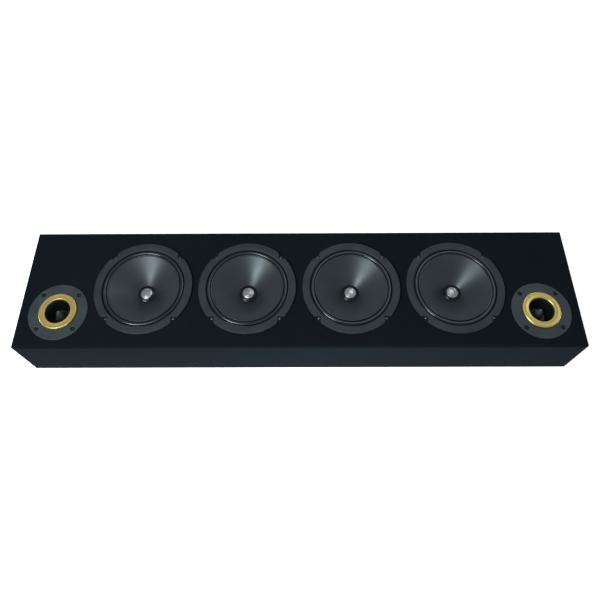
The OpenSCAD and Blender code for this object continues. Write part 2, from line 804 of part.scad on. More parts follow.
// Lever on its pin: a boss, a flat arm and a ridged pad for the finger
module lever(x) {
    front_y = -recess_depth + block_depth;
    ridge_r = 0.6;
    at_terminal() translate([x, 0, 0]) {
        translate([-lever_w / 2, pivot_y, pivot_z]) rotate([0, 90, 0]) cylinder(r = boss_r, h = lever_w);
        translate([-lever_w / 2 - pin_over, pivot_y, pivot_z]) rotate([0, 90, 0])
            cylinder(r = pin_r, h = lever_w + 2 * pin_over);
        translate([-lever_w / 2, pivot_y + boss_r - lever_t, pivot_z - lever_l]) cube([lever_w, lever_t, lever_l]);
        translate([-lever_w / 2, pivot_y + boss_r - lever_t, pivot_z - lever_l]) cube([lever_w, lever_t + pad_h, 4]);
        for (i = [0:3]) translate([-lever_w / 2, pivot_y + boss_r, pivot_z - lever_l + 6 + i * 2]) rotate([0, 90, 0])
            cylinder(r = ridge_r, h = lever_w);
    }
}

module lever_red() {
    color(red_colour) lever(lever_pitch / 2);
}

module lever_black() {
    color(black_colour) lever(-lever_pitch / 2);
}

back_board();
baffle_board();
side_board_near();
side_board_far();
for (s = SIDES) end_board(s);
carpet_wrap();
carpet_base();
for (s = SIDES) carpet_end(s);
for (k = MIDRANGES) basket(k);
for (k = MIDRANGES) trim_ring(k);
for (k = MIDRANGES) surround(k);
for (k = MIDRANGES) cone(k);
for (k = MIDRANGES) dust_cap(k);
for (k = MIDRANGES) voice_coil(k);
for (k = MIDRANGES) spider(k);
midrange_top_plates();
midrange_magnets();
midrange_yokes();
midrange_screws();
for (s = SIDES) tweeter_horn(s);
for (s = SIDES) tweeter_ring(s);
for (s = SIDES) tweeter_bullet(s);
for (s = SIDES) tweeter_diaphragm(s);
tweeter_top_plates();
tweeter_magnets();
tweeter_yokes();
tweeter_screws();
driver_tags();
terminal_cup();
terminal_contacts();
terminal_screws();
lever_red();
lever_black();
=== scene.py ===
import json
import math

import bmesh
import bpy
import numpy as np
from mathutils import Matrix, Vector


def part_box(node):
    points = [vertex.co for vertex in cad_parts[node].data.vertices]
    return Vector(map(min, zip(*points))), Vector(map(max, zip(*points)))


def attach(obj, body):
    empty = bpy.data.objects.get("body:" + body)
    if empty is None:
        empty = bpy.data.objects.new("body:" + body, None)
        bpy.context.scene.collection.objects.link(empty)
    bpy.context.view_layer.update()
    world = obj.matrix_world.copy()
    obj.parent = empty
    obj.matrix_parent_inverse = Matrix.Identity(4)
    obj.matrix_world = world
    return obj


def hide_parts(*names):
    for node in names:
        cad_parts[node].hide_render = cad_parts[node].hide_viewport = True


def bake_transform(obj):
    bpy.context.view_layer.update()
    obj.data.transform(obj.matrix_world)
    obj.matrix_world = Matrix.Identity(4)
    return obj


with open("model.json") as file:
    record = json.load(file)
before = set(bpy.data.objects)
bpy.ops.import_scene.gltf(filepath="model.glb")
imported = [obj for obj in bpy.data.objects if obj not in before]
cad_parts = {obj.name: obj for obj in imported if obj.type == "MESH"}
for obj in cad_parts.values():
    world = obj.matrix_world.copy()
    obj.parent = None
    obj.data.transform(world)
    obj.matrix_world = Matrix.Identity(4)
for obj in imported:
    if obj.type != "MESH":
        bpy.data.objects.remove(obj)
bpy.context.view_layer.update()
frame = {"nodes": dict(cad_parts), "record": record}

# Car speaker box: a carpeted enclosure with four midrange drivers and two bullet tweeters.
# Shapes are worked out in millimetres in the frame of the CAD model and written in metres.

MM = 0.001
scene = bpy.context.scene
MIDRANGES = (1, 2, 3, 4)
SIDES = ("left", "right")


def node_box(name):
    """Lowest and highest corner of a CAD node, in millimetres."""
    low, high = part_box(name)
    return np.array(low) / MM, np.array(high) / MM


def middle(name):
    """Centre (x, y) of a CAD node's box, in millimetres."""
    low, high = node_box(name)
    return tuple((low + high)[:2] / 2)


# TOP is the face of the carpet under the flanges. The heights z of all drivers are measured from it.
BASKET_FLANGE = 1.5
TOP = node_box("basket_1")[1][2] - BASKET_FLANGE
MIDRANGE_AT = {k: middle(f"cone_{k}") for k in MIDRANGES}
TWEETER_AT = {s: middle(f"tweeter_ring_{s}") for s in SIDES}


# Camera and light, in metres

def stand(obj, right, up, back, place):
    """Puts obj at place, with its X, Y and Z axes along right, up and back."""
    matrix = np.eye(4)
    matrix[:3] = np.stack((right, up, back, place), 1)
    obj.matrix_world = matrix.T.tolist()


def stand_camera():
    """Camera axes from pitch, yaw and roll, and its place from the offset of the baffle's centre."""
    pitch, yaw, roll = math.radians(58.52), -0.0094, 0.0121
    box_length = 0.95
    offset = np.array((-0.0032, -0.1394, 1.1006)) * box_length
    sensor, focal_share = 36.0, 605.2 / 600
    sine, cosine = math.sin(pitch), math.cos(pitch)
    turn = np.array(((math.cos(yaw), -math.sin(yaw), 0), (math.sin(yaw), math.cos(yaw), 0), (0, 0, 1)))
    tilt = np.array(((1, 0, 0), (0, sine, cosine), (0, cosine, -sine)))
    lean = np.array(((math.cos(roll), -math.sin(roll), 0), (math.sin(roll), math.cos(roll), 0), (0, 0, 1)))
    axes = lean @ tilt @ turn
    place = -axes.T @ (lean @ offset) + (0, 0, TOP * MM)
    data = bpy.data.cameras.new("camera")
    data.sensor_width, data.lens, data.shift_y = sensor, sensor * focal_share, -0.15
    data.clip_start, data.clip_end = 0.01, 50
    camera = bpy.data.objects.new("camera", data)
    scene.collection.objects.link(camera)
    stand(camera, axes[0], axes[1], -axes[2], place)
    scene.camera = camera


def add_lamp(name, place, target, size, power, colour):
    """Rectangular lamp at place that shines at target."""
    data = bpy.data.lights.new(name, "AREA")
    data.shape, data.size, data.size_y = "RECTANGLE", size[0], size[1]
    data.energy, data.color = power, colour
    lamp = bpy.data.objects.new(name, data)
    scene.collection.objects.link(lamp)
    back = np.subtract(place, target).astype(float)
    back /= np.linalg.norm(back)
    right = np.cross((0, 0, 1), back)
    right /= np.linalg.norm(right)
    stand(lamp, right, np.cross(back, right), back, place)


stand_camera()

# Name, place, target, width and height, power in watts, colour
add_lamp("key", (-0.98, -0.91, 1.51), (0.1, 0, 0.11), (0.5, 0.5), 28, (1.0, 0.99, 0.97))
add_lamp("high_key", (-0.48, -0.40, 1.47), (0.2, 0, 0.11), (0.45, 0.45), 9, (1.0, 0.99, 0.97))
add_lamp("near_fill", (0.02, -0.47, 0.1), (0.02, 0, 0.055), (0.3, 0.1), 1.4, (1.0, 0.96, 0.97))
add_lamp("right_top", (0.42, 0.72, 1.5), (0.3, 0, 0.11), (0.7, 0.7), 6, (0.98, 1.0, 1.0))

# These lamps stand lower than the baffle, so they light the far side and the ends but no driver.
add_lamp("far_fill", (0.3, 1.3, 0.055), (0, 0.1, 0.055), (1.2, 0.1), 6, (0.98, 1.0, 1.0))
add_lamp("left_end_fill", (-1.5, -0.1, 0.055), (-0.4, 0, 0.055), (0.5, 0.1), 3.5, (0.99, 1.0, 1.0))
add_lamp("right_end_fill", (1.5, -0.1, 0.055), (0.4, 0, 0.055), (0.5, 0.1), 3.5, (0.99, 1.0, 1.0))


def white_for_the_eye(tree, seen, unseen):
    """Joins two shaders: one for camera, glossy and transmission rays, one for the light itself."""
    path = tree.nodes.new("ShaderNodeLightPath")
    first = tree.nodes.new("ShaderNodeMath")
    first.operation = "MAXIMUM"
    tree.links.new(path.outputs["Is Camera Ray"], first.inputs[0])
    tree.links.new(path.outputs["Is Glossy Ray"], first.inputs[1])
    second = tree.nodes.new("ShaderNodeMath")
    second.operation = "MAXIMUM"
    tree.links.new(first.outputs[0], second.inputs[0])
    tree.links.new(path.outputs["Is Transmission Ray"], second.inputs[1])
    mix = tree.nodes.new("ShaderNodeMixShader")
    tree.links.new(second.outputs[0], mix.inputs[0])
    tree.links.new(unseen.outputs[0], mix.inputs[1])
    tree.links.new(seen.outputs[0], mix.inputs[2])
    return mix


def light_the_room():
    """World that looks white and lights the box with a weak, cool light."""
    world = bpy.data.worlds.new("studio")
    world.use_nodes = True
    scene.world = world
    tree = world.node_tree
    tree.nodes.clear()
    seen = tree.nodes.new("ShaderNodeBackground")
    seen.inputs["Color"].default_value = (1, 1, 1, 1)
    unseen = tree.nodes.new("ShaderNodeBackground")
    unseen.inputs["Color"].default_value = (0.93, 0.96, 1, 1)
    unseen.inputs["Strength"].default_value = 0.22
    out = tree.nodes.new("ShaderNodeOutputWorld")
    tree.links.new(white_for_the_eye(tree, seen, unseen).outputs[0], out.inputs["Surface"])


light_the_room()
scene.view_settings.view_transform = "Standard"


def lay_floor():
    """Pale floor just under the box: white to the eye, with a soft shadow kept from its diffuse part."""
    half, z = 6.0, -0.0004
    corners = [(-half, -half, z), (half, -half, z), (half, half, z), (-half, half, z)]
    mesh = bpy.data.meshes.new("floor")
    mesh.from_pydata(corners, [], [(0, 1, 2, 3)])
    floor = bpy.data.objects.new("floor", mesh)
    scene.collection.objects.link(floor)
    material = bpy.data.materials.new("pale_floor")
    material.use_nodes = True
    tree = material.node_tree
    tree.nodes.clear()
    matte = tree.nodes.new("ShaderNodeBsdfDiffuse")
    matte.inputs["Color"].default_value = (0.8, 0.8, 0.8, 1)
    glow = tree.nodes.new("ShaderNodeEmission")
    glow.inputs["Strength"].default_value = 0.72
    both = tree.nodes.new("ShaderNodeAddShader")
    tree.links.new(matte.outputs[0], both.inputs[0])
    tree.links.new(glow.outputs[0], both.inputs[1])
    out = tree.nodes.new("ShaderNodeOutputMaterial")
    tree.links.new(white_for_the_eye(tree, both, matte).outputs[0], out.inputs["Surface"])
    mesh.materials.append(material)


lay_floor()


# Materials. Sizes of patterns and depths of bumps are in millimetres.

class Finish:
    """A material round one Principled shader, with helpers that add and join nodes."""

    def __init__(self, name, roughness, metal, specular=0.5, **fixed):
        self.material = bpy.data.materials.new(name)
        self.material.use_nodes = True
        self.tree = self.material.node_tree
        self.shader = self.tree.nodes["Principled BSDF"]
        self.shader.inputs["Roughness"].default_value = roughness
        self.shader.inputs["Metallic"].default_value = metal
        self.shader.inputs["Specular IOR Level"].default_value = specular
        for key, value in fixed.items():
            self.shader.inputs[key.replace("_", " ")].default_value = value
        self.places = self.tree.nodes.new("ShaderNodeTexCoord")
        self.bumps = None

    def node(self, kind, **settings):
        """Adds a shader node and sets its properties."""
        made = self.tree.nodes.new("ShaderNode" + kind)
        for key, value in settings.items():
            setattr(made, key, value)
        return made

    def put(self, value, socket):
        """Links an output to a socket, or writes a plain value there."""
        if isinstance(value, bpy.types.NodeSocket):
            self.tree.links.new(value, socket)
        else:
            socket.default_value = value

    def vector(self, scale=(1, 1, 1), source="Object"):
        """Object or UV coordinates, stretched by scale."""
        mapping = self.node("Mapping")
        self.tree.links.new(self.places.outputs[source], mapping.inputs["Vector"])
        mapping.inputs["Scale"].default_value = scale
        return mapping.outputs["Vector"]

    def noise(self, size, detail=3.0, rough=0.5, distortion=0.0, vector=None):
        """Noise whose blobs are about size millimetres wide; detail, rough and distortion as in Blender."""
        made = self.node("TexNoise")
        self.put(vector or self.vector(), made.inputs["Vector"])
        made.inputs["Scale"].default_value = 1 / (size * MM)
        made.inputs["Detail"].default_value = detail
        made.inputs["Roughness"].default_value = rough
        made.inputs["Distortion"].default_value = distortion
        return made.outputs["Fac"]

    def wave(self, size, direction, distortion=0.0, vector=None):
        """Waves that repeat every size millimetres. The texture's own period is 2 pi / 20 at scale 1."""
        made = self.node("TexWave", bands_direction=direction)
        self.put(vector or self.vector(), made.inputs["Vector"])
        made.inputs["Scale"].default_value = 2 * math.pi / 20 / (size * MM)
        made.inputs["Distortion"].default_value = distortion
        made.inputs["Detail"].default_value = 2.0
        return made.outputs["Fac"]

    def spread(self, value, low, high, start=0.35, stop=0.65):
        """Maps a value from start..stop to low..high. Most noise lies between the two defaults."""
        made = self.node("MapRange")
        self.put(value, made.inputs["Value"])
        for key, number in (("From Min", start), ("From Max", stop), ("To Min", low), ("To Max", high)):
            made.inputs[key].default_value = number
        return made.outputs["Result"]

    def blend(self, factor, first, second):
        """Mixes two colours, each a tuple or an output."""
        made = self.node("Mix", data_type="RGBA")
        self.put(factor, made.inputs["Factor"])
        colours = [socket for socket in made.inputs if socket.type == "RGBA"]
        for value, socket in zip((first, second), colours):
            self.put((*value, 1) if isinstance(value, tuple) else value, socket)
        return next(socket for socket in made.outputs if socket.type == "RGBA")

    def maths(self, operation, first, second):
        """Joins two values by one operation."""
        made = self.node("Math", operation=operation)
        self.put(first, made.inputs[0])
        self.put(second, made.inputs[1])
        return made.outputs[0]

    def colour(self, value):
        """Sets the base colour."""
        self.put(value, self.shader.inputs["Base Color"])

    def rough(self, value):
        """Sets the roughness."""
        self.put(value, self.shader.inputs["Roughness"])

    def bump(self, height, depth, strength=1.0):
        """Adds a bump, depth in millimetres, over those that are there."""
        made = self.node("Bump")
        made.inputs["Strength"].default_value = strength
        made.inputs["Distance"].default_value = depth * MM
        self.put(height, made.inputs["Height"])
        if self.bumps is not None:
            self.tree.links.new(self.bumps, made.inputs["Normal"])
        self.bumps = made.outputs["Normal"]
        self.tree.links.new(self.bumps, self.shader.inputs["Normal"])


# Tint of the gloss on black plastic and rubber
COOL = (0.72, 0.90, 1.0, 1)
NEUTRAL = (1, 1, 1, 1)


def felt_carpet():
    """Needle felt: fibres in two sizes, dark and pale flecks, and clouds from brushing."""
    f = Finish("felt_carpet", 0.95, 0.0, 0.0, Sheen_Weight=0.05, Sheen_Roughness=0.4)
    f.shader.inputs["Sheen Tint"].default_value = (0.55, 0.72, 0.9, 1)
    fibre = f.noise(0.9, 4, 0.65, 0.8)
    lint = f.noise(0.35, 2, 0.7)
    cloud = f.noise(140, 3, 0.55)
    base = f.blend(f.spread(cloud, 0, 1, 0.3, 0.7), (0.0022, 0.0040, 0.0058), (0.0040, 0.0063, 0.0086))
    tuft = f.blend(f.spread(fibre, 0, 1), base, (0.0070, 0.0103, 0.0136))
    f.colour(f.blend(f.spread(lint, 0, 0.4, 0.62, 0.8), tuft, (0.028, 0.034, 0.040)))
    f.bump(f.noise(14, 2), 0.5, 0.25)
    f.bump(fibre, 0.35, 0.6)
    f.bump(lint, 0.15, 0.5)
    return f.material


def moulded(name, dark, light, roughness, specular, grain, depth, tint=NEUTRAL):
    """Moulded plastic, rubber or paint: a soft drift of tone, a fine grain and uneven gloss."""
    f = Finish(name, roughness, 0.0, specular, Specular_Tint=tint)
    drift = f.noise(25, 3)
    fine = f.noise(grain, 3, 0.6)
    f.colour(f.blend(f.spread(drift, 0, 1), dark, light))
    f.rough(f.spread(fine, roughness - 0.05, roughness + 0.06))
    f.bump(fine, depth, 0.5)
    return f.material


def metal(name, dark, light, roughness, stain):
    """Metal as it comes from the press: uneven tone and gloss, fine pits, and stains here and there."""
    f = Finish(name, roughness, 1.0)
    pits = f.noise(0.4, 4, 0.65)
    base = f.blend(f.spread(pits, 0, 1), dark, light)
    f.colour(f.blend(f.spread(f.noise(9, 4, 0.7), 0, 0.5, 0.55, 0.75), base, stain))
    f.rough(f.spread(pits, roughness - 0.07, roughness + 0.08))
    f.bump(pits, 0.01, 0.4)
    return f.material


def pulp_board():
    """Board of pressed wood fibre: fine fibres over a soft mottling."""
    f = Finish("pulp_board", 0.85, 0.0, 0.3)
    fibre = f.noise(1.2, 4, 0.7, 1.5, f.vector((0.35, 1, 1)))
    chip = f.noise(0.5, 2)
    base = f.blend(f.spread(f.noise(40, 2), 0, 1), (0.36, 0.26, 0.16), (0.42, 0.31, 0.20))
    base = f.blend(f.spread(fibre, 0, 1), base, (0.52, 0.41, 0.28))
    f.colour(f.blend(f.spread(chip, 0, 0.6, 0.6, 0.75), base, (0.20, 0.13, 0.08)))
    f.bump(fibre, 0.1, 0.5)
    return f.material


def woven(name, warp, weft, pitch, roughness, specular, coat=0.0):
    """Plain weave: two sets of threads at right angles, each a fine wave, with slubs from noise."""
    f = Finish(name, roughness, 0.0, specular, Coat_Weight=coat)
    along = f.wave(pitch, "X", 0.4)
    across = f.wave(pitch, "Y", 0.4)
    slub = f.noise(pitch * 3, 3)
    cloth = f.blend(f.spread(along, 0, 1, 0.2, 0.8), warp, weft)
    f.colour(f.blend(f.spread(slub, 0, 0.5), cloth, tuple(0.6 * c for c in weft)))
    f.bump(f.maths("MAXIMUM", along, across), 0.12, 0.7)
    return f.material


def wound_copper():
    """Enamelled wire: a ridge for each turn, up the coil, with a painted highlight on each crest and painted
    shade between turns.
    """
    f = Finish("wound_copper", 0.3, 1.0)
    turn_ridges_and_painted_highlight = f.wave(0.32, "Z")
    # Painted highlight and shade: bright copper on each turn's crest, dark copper between the turns.
    f.colour(f.blend(turn_ridges_and_painted_highlight, (0.30, 0.11, 0.04), (0.80, 0.38, 0.18)))
    f.rough(f.spread(f.noise(2, 3), 0.22, 0.4))
    f.bump(turn_ridges_and_painted_highlight, 0.08, 0.8)
    return f.material


def ferrite():
    """Pressed ferrite: grey-black, dull, with fine pits about 1.1 mm apart."""
    f = Finish("ferrite", 0.7, 0.0, 0.4)
    f.colour(f.blend(f.spread(f.noise(12, 4), 0, 1), (0.022, 0.022, 0.024), (0.05, 0.05, 0.052)))
    pits = f.node("TexVoronoi")
    f.put(f.vector(), pits.inputs["Vector"])
    pits.inputs["Scale"].default_value = 900
    f.bump(f.spread(pits.outputs["Distance"], 0, 1, 0.0, 0.3), 0.05, 0.4)
    return f.material


def pressed_cone():
    """Mineral-filled cone: faint rings from the mould, mica specks and a satin gloss."""
    f = Finish("pressed_cone", 0.35, 0.0, 0.30, Specular_Tint=COOL, Coat_Weight=0.12, Coat_Roughness=0.55)
    speck = f.noise(0.6, 2, 0.7)
    drift = f.noise(30, 3)
    rings = f.wave(1.4, "Y", 0.0, f.vector((0, 1, 0), "UV"))
    base = f.blend(f.spread(drift, 0, 1), (0.0045, 0.0068, 0.0092), (0.0072, 0.0100, 0.0130))
    f.colour(f.blend(f.spread(speck, 0, 0.5, 0.6, 0.75), base, (0.022, 0.027, 0.030)))
    f.rough(f.spread(f.noise(25, 2), 0.33, 0.38))
    f.bump(rings, 0.004, 0.3)
    f.bump(speck, 0.006, 0.3)
    return f.material


def horn_plastic():
    """Moulded flange that drifts in tone, and a glossier throat of the same plastic whose darker colour is
    painted shade.
    The UV map's v runs up the throat in metres and passes from throat to flange near 24 mm."""
    throat_end, flange_start = 0.0225, 0.0250
    f = Finish("horn_plastic", 0.42, 0.0, 0.2, Specular_Tint=COOL)
    place = f.node("SeparateXYZ")
    f.put(f.vector(source="UV"), place.inputs[0])
    flange = f.spread(place.outputs["Y"], 0, 1, throat_end, flange_start)
    fine = f.noise(0.45, 3, 0.6)
    outer = f.blend(f.spread(f.noise(25, 3), 0, 1), (0.017, 0.0235, 0.026), (0.0225, 0.0305, 0.0335))
    # Painted shade: inner is the throat's colour, darker than the flange only for the shade in the recess.
    inner = f.blend(f.spread(f.noise(9, 2), 0, 1), (0.0020, 0.0034, 0.0042), (0.0034, 0.0054, 0.0064))
    f.colour(f.blend(flange, inner, outer))
    f.rough(f.maths("ADD", f.spread(fine, -0.05, 0.06), f.spread(flange, 0.26, 0.42, 0, 1)))
    f.bump(f.maths("MULTIPLY", fine, flange), 0.015, 0.5)
    return f.material


def turned_metal(name, dark, light, roughness):
    """Metal finished on a lathe: fine rings that follow the piece's own UV map."""
    f = Finish(name, roughness, 1.0)
    rings = f.noise(0.25, 3, 0.7, vector=f.vector((0, 1, 0), "UV"))
    patch = f.spread(f.noise(6, 3), roughness - 0.03, roughness + 0.05)
    f.colour(f.blend(f.spread(rings, 0, 1), dark, light))
    f.rough(f.maths("ADD", f.spread(rings, -0.06, 0.08), patch))
    f.bump(rings, 0.02, 0.5)
    return f.material


# One finish for each material slot of the CAD model. The numbers after the colours are, for moulded:
# roughness, specular level, grain and bump depth; for the metals: roughness; for woven: pitch of the
# threads, roughness, specular level and coat.
FINISH = {
    "carpet": felt_carpet(),
    "board": pulp_board(),
    "painted_steel": moulded(
        "painted_steel", (0.003, 0.004, 0.005), (0.005, 0.0065, 0.008), 0.45, 0.06, 1.2, 0.02, COOL),
    "trim_rubber": moulded(
        "trim_rubber", (0.014, 0.019, 0.023), (0.019, 0.025, 0.030), 0.5, 0.12, 0.5, 0.02, COOL),
    "surround_rubber": moulded(
        "surround_rubber", (0.0015, 0.002, 0.003), (0.003, 0.004, 0.005), 0.17, 0.34, 0.8, 0.004, COOL),
    "cone": pressed_cone(),
    "dust_cap": turned_metal("brushed_disc", (0.10, 0.105, 0.112), (0.24, 0.25, 0.26), 0.28),
    "copper": wound_copper(),
    "spider_cloth": woven("spider_cloth", (0.50, 0.34, 0.12), (0.62, 0.46, 0.20), 0.9, 0.7, 0.3),
    "diaphragm": woven("diaphragm", (0.020, 0.017, 0.014), (0.034, 0.028, 0.022), 0.6, 0.5, 0.3, 0.2),
    "plated_steel": metal("plated_steel", (0.42, 0.42, 0.40), (0.62, 0.62, 0.60), 0.35, (0.50, 0.46, 0.36)),
    "ferrite": ferrite(),
    "screw": metal("black_screw", (0.030, 0.033, 0.037), (0.085, 0.09, 0.098), 0.3, (0.18, 0.19, 0.20)),
    "horn": horn_plastic(),
    "gold": turned_metal("gold_plate", (0.24, 0.188, 0.053), (0.335, 0.273, 0.098), 0.34),
    "bullet": moulded(
        "bullet_satin", (0.026, 0.029, 0.032), (0.040, 0.044, 0.048), 0.38, 0.8, 0.6, 0.006, COOL),
    "tag_strip": moulded("tag_strip", (0.20, 0.11, 0.05), (0.28, 0.17, 0.08), 0.6, 0.4, 0.6, 0.05),
    "terminal_plastic": moulded(
        "terminal_plastic", (0.008, 0.009, 0.010), (0.014, 0.015, 0.017), 0.42, 0.2, 0.4, 0.03, COOL),
    "contact": metal("tinned_brass", (0.50, 0.40, 0.18), (0.70, 0.58, 0.30), 0.3, (0.62, 0.60, 0.55)),
    "lever_red": moulded("lever_red", (0.42, 0.010, 0.010), (0.50, 0.016, 0.014), 0.25, 0.3, 1.5, 0.01),
    "lever_black": moulded(
        "lever_black", (0.010, 0.011, 0.012), (0.016, 0.017, 0.018), 0.25, 0.28, 1.5, 0.01, COOL),
}

# Two finishes for pieces that differ from the rest of their slot
CAP_LACQUER = moulded(
    "cap_lacquer", (0.003, 0.004, 0.005), (0.005, 0.0065, 0.008), 0.24, 0.12, 0.7, 0.004, COOL)
BLACKENED_SCREW = metal(
    "blackened_screw", (0.004, 0.004, 0.005), (0.018, 0.019, 0.021), 0.34, (0.05, 0.052, 0.055))

for part in frame["record"]["subparts"]:
    for holder in frame["nodes"][part["node"]].material_slots:
        holder.material = FINISH[part["material_slot"]]


# Meshes. A shape is a tuple: points in millimetres, groups of faces, and a UV map for each group.

def signed_volume(points, faces):
    """Sum of a . (b x c) / 6 over the fans of the faces: positive where they point outwards."""
    total = 0.0
    for group in faces:
        a = points[group[:, 0]]
        for i in range(1, group.shape[1] - 1):
            total += np.einsum("ij,ij->", a, np.cross(points[group[:, i]], points[group[:, i + 1]])) / 6
    return total


def make_piece(name, shape, slot, body, node, sharp, finish=None):
    """Makes a piece that stands in for a CAD node, smooth below the sharp angle, and puts it on a body.
    A piece given no body is left unattached. The material is finish, or else that of the slot."""
    points, faces, uvs = shape
    if signed_volume(points - points.mean(0), faces) < 0:
        faces = [group[:, ::-1] for group in faces]
        uvs = [group[:, ::-1] for group in uvs]
    mesh = bpy.data.meshes.new(name)
    loops = np.concatenate([group.ravel() for group in faces]).astype(np.int32)
    counts = np.concatenate([np.full(len(group), group.shape[1]) for group in faces])
    starts = np.concatenate(([0], np.cumsum(counts)[:-1])).astype(np.int32)
    mesh.vertices.add(len(points))
    mesh.vertices.foreach_set("co", (points * MM).astype(np.float32).ravel())
    mesh.loops.add(len(loops))
    mesh.loops.foreach_set("vertex_index", loops)
    mesh.polygons.add(len(counts))
    mesh.polygons.foreach_set("loop_start", starts)
    mesh.update(calc_edges=True)
    layer = mesh.uv_layers.new(name="along")
    flat = np.concatenate([group.reshape(-1, 2) for group in uvs]).astype(np.float32)
    layer.data.foreach_set("uv", flat.ravel())
    mesh.polygons.foreach_set("use_smooth", np.ones(len(counts), bool))
    mesh.set_sharp_from_angle(angle=math.radians(sharp))
    mesh.validate()
    mesh.materials.append(finish or FINISH[slot])
    obj = bpy.data.objects.new(name, mesh)
    scene.collection.objects.link(obj)
    if body:
        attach(obj, body)
    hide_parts(node)
    return obj


def ring_mesh(r, z, angles, centre, base=TOP, loop=True):
    """Point (i, j) is centre + (r cos a, r sin a), base + z, with a the angle j. Row i follows the section.
    A section that is no loop starts and ends on the axis, and each end becomes one point.
    In the UV map u is the share of a turn and v the length along the section, in metres."""
    rows, columns = len(r), len(angles)
    x = centre[0] + r * np.cos(angles)
    y = centre[1] + r * np.sin(angles)
    points = np.stack((x, y, base + z + 0 * x), -1).reshape(-1, 3)
    length = np.concatenate(([0], np.cumsum(np.hypot(np.diff(r[:, 0]), np.diff(z[:, 0])))))
    whole = length[-1] + np.hypot(r[0, 0] - r[-1, 0], z[0, 0] - z[-1, 0])
    v = np.append(length, whole) * MM
    index = np.arange(rows * columns).reshape(rows, columns)
    j = np.arange(columns)
    after = (j + 1) % columns
    u0, u1 = j / columns, (j + 1) / columns

    def strip(i0, i1, v0, v1):
        """Quads between the rows i0 and i1."""
        v0, v1 = v0[:, None], v1[:, None]
        quads = np.stack((index[i0][:, j], index[i0][:, after], index[i1][:, after], index[i1][:, j]), -1)
        corners = ((u0, v0), (u1, v0), (u1, v1), (u0, v1))
        uv = np.stack([np.stack(np.broadcast_arrays(*corner), -1) for corner in corners], -2)
        return quads.reshape(-1, 4), uv.reshape(-1, 4, 2)

    def fan(pole, row, one, other):
        """Triangles from the pole's point to the row. one and other are the columns and u of its corners."""
        triangles = np.stack((np.full(columns, index[pole, 0]), index[row][one[0]], index[row][other[0]]), -1)
        corners = ((u0, v[pole]), (one[1], v[row]), (other[1], v[row]))
        uv = np.stack([np.stack(np.broadcast_arrays(*corner), -1) for corner in corners], -2)
        return triangles, uv

    if loop:
        i0 = np.arange(rows)
        quads, uv = strip(i0, (i0 + 1) % rows, v[:-1], v[1:])
        return points, [quads], [uv]
    i0 = np.arange(1, rows - 2)
    quads, uv = strip(i0, i0 + 1, v[i0], v[i0 + 1])
    start, start_uv = fan(0, 1, (after, u1), (j, u0))
    end, end_uv = fan(rows - 1, rows - 2, (j, u0), (after, u1))
    faces = [quads, np.concatenate((start, end))]
    used = np.unique(np.concatenate([group.ravel() for group in faces]))
    renumber = np.zeros(len(points), int)
    renumber[used] = np.arange(len(used))
    return points[used], [renumber[group] for group in faces], [uv, np.concatenate((start_uv, end_uv))]


def turned(section, steps, centre, loop=True):
    """Section of (r, z) points carried round the centre."""
    section = np.asarray(section, float)
    angles = np.arange(steps) * 2 * math.pi / steps
    r, z = (np.repeat(section[:, i:i + 1], steps, 1) for i in (0, 1))
    return ring_mesh(r, z, angles, centre, loop=loop)


def rounded(corners):
    """Section with each corner (r, z, radius) as a curve: start (1-t)^2 + 2 t (1-t) corner + t^2 end.
    A corner of radius 0 stays a point."""
    t = np.linspace(0, 1, 5)[:, None]
    line = []
    for i, (r, z, radius) in enumerate(corners):
        here = np.array((r, z))
        if radius == 0:
            line.append(here[None])
            continue
        before = np.array(corners[i - 1][:2])
        after = np.array(corners[(i + 1) % len(corners)][:2])
        start = here + (before - here) / np.linalg.norm(before - here) * radius
        end = here + (after - here) / np.linalg.norm(after - here) * radius
        line.append((1 - t) ** 2 * start + 2 * t * (1 - t) * here + t ** 2 * end)
    return np.concatenate(line)


def joined(shapes):
    """One shape from several: points stacked, faces renumbered and sorted by their number of corners."""
    points, faces, uvs, base = [], {}, {}, 0
    for own_points, groups, maps in shapes:
        points.append(own_points)
        for group, uv in zip(groups, maps):
            faces.setdefault(group.shape[1], []).append(group + base)
            uvs.setdefault(group.shape[1], []).append(uv)
        base += len(own_points)
    faces = [np.concatenate(groups) for groups in faces.values()]
    return np.concatenate(points), faces, [np.concatenate(maps) for maps in uvs.values()]


def crowded_angles(steps, extra, width):
    """Even angles with extra ones within width degrees of the four diagonals."""
    even = np.arange(steps) * 360 / steps
    near = (45 + 90 * np.arange(4)[:, None] + np.linspace(-width, width, extra)).ravel() % 360
    return np.radians(np.unique(np.round(np.concatenate((even, near)), 4)))


# Midrange drivers

def notched_outline(angles, outer, corner):
    """Outer radius of the trim ring: a circle cut back to the corner of a square at the four screws.
    The smaller of the two radii is taken with a soft edge: -s ln(e^(-a / s) + e^(-b / s))."""
    side = np.minimum(np.abs(np.sin(angles)), np.abs(np.cos(angles)))
    reach = corner / np.maximum(side, 1e-3)
    soft = 0.35
    return -soft * np.logaddexp(-outer / soft, -reach / soft)


